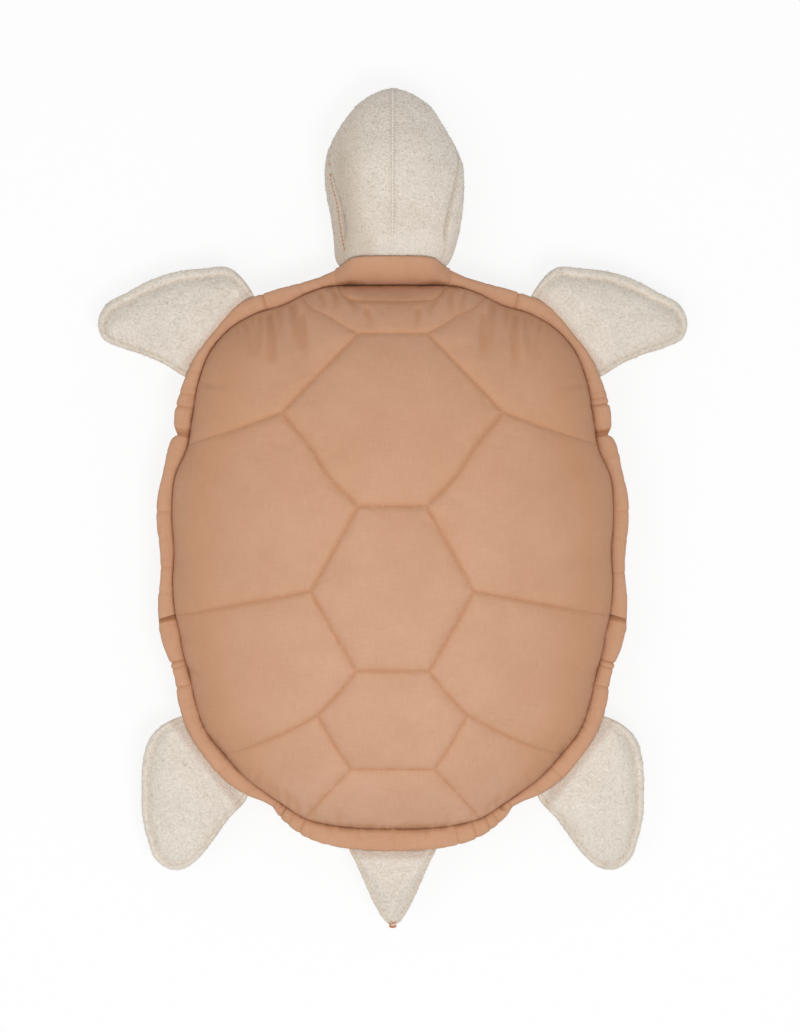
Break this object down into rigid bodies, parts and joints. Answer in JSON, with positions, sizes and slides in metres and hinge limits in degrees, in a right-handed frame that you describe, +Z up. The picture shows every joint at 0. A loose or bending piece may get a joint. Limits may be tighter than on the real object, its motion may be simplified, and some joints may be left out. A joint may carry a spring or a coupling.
{
  "type": "plush sea turtle",
  "caption": "Stuffed cloth sea turtle lying on its belly, with a quilted shell, a sewn rim and a head, flippers and tail that flex at their seams.",
  "frame": {"origin": "on the floor under the middle of the toy's overall box", "axes": "+Y from tail to nose, +Z up out of the shell, +X to the toy's right"},
  "size_m": [0.422, 0.5992, 0.1248],
  "materials": {
    "tan_cloth": "matte",
    "rim_cloth": "matte",
    "belly_cloth": "matte",
    "cream_cloth": "matte",
    "filling": "matte",
    "thread": "matte"
  },
  "bodies": {
    "shell": {"shell_panel_front": "tan_cloth", "shell_panel_centre_1": "tan_cloth", "shell_panel_centre_2": "tan_cloth", "shell_panel_centre_3": "tan_cloth", "shell_panel_rear": "tan_cloth", "shell_panel_left_1": "tan_cloth", "shell_panel_left_2": "tan_cloth", "shell_panel_left_3": "tan_cloth", "shell_panel_left_4": "tan_cloth", "shell_panel_right_1": "tan_cloth", "shell_panel_right_2": "tan_cloth", "shell_panel_right_3": "tan_cloth", "shell_panel_right_4": "tan_cloth", "rim_collar": "rim_cloth", "rim_front_left": "rim_cloth", "rim_front_right": "rim_cloth", "rim_middle_left": "rim_cloth", "rim_middle_right": "rim_cloth", "rim_rear_left": "rim_cloth", "rim_rear_right": "rim_cloth", "rim_tail": "rim_cloth", "belly_panel_left": "belly_cloth", "belly_panel_right": "belly_cloth", "shell_filling": "filling"},
    "head": {"head_upper_left": "cream_cloth", "head_upper_right": "cream_cloth", "head_chin": "cream_cloth", "head_filling": "filling"},
    "flipper_front_left": {"flipper_front_left_upper": "cream_cloth", "flipper_front_left_lower": "cream_cloth", "flipper_front_left_batting": "filling"},
    "flipper_front_right": {"flipper_front_right_upper": "cream_cloth", "flipper_front_right_lower": "cream_cloth", "flipper_front_right_batting": "filling"},
    "flipper_rear_left": {"flipper_rear_left_upper": "cream_cloth", "flipper_rear_left_lower": "cream_cloth", "flipper_rear_left_batting": "filling"},
    "flipper_rear_right": {"flipper_rear_right_upper": "cream_cloth", "flipper_rear_right_lower": "cream_cloth", "flipper_rear_right_batting": "filling"},
    "tail": {"tail_upper_left": "cream_cloth", "tail_upper_right": "cream_cloth", "tail_under": "cream_cloth", "tail_filling": "filling", "tail_knot": "thread"}
  },
  "joints": [
    {"name": "head_nod", "type": "hinge", "parent": "shell", "child": "head", "pos_m": [0, 0.18912, 0.042], "axis": [1, 0, 0], "range_deg": [-8, 25], "stiffness_Nm_per_rad": 0.3, "springref_deg": 1.72},
    {"name": "flipper_front_left_flap", "type": "hinge", "parent": "shell", "child": "flipper_front_left", "pos_m": [-0.1299, 0.1284, 0.042], "axis": [0.6428, 0.766, 0], "range_deg": [-24, 60], "stiffness_Nm_per_rad": 0.05, "springref_deg": 1.15},
    {"name": "flipper_front_right_flap", "type": "hinge", "parent": "shell", "child": "flipper_front_right", "pos_m": [0.1299, 0.1284, 0.042], "axis": [0.6428, -0.766, 0], "range_deg": [-24, 60], "stiffness_Nm_per_rad": 0.05, "springref_deg": 1.15},
    {"name": "flipper_rear_left_flap", "type": "hinge", "parent": "shell", "child": "flipper_rear_left", "pos_m": [-0.1348, -0.18331, 0.042], "axis": [-0.6184, 0.7859, 0], "range_deg": [-24, 60], "stiffness_Nm_per_rad": 0.05, "springref_deg": 1.15},
    {"name": "flipper_rear_right_flap", "type": "hinge", "parent": "shell", "child": "flipper_rear_right", "pos_m": [0.1348, -0.18331, 0.042], "axis": [-0.6184, -0.7859, 0], "range_deg": [-24, 60], "stiffness_Nm_per_rad": 0.05, "springref_deg": 1.15},
    {"name": "tail_flap", "type": "hinge", "parent": "shell", "child": "tail", "pos_m": [0, -0.2493, 0.042], "axis": [-1, 0, 0], "range_deg": [-25, 45], "stiffness_Nm_per_rad": 0.03, "springref_deg": 0.57}
  ]
}
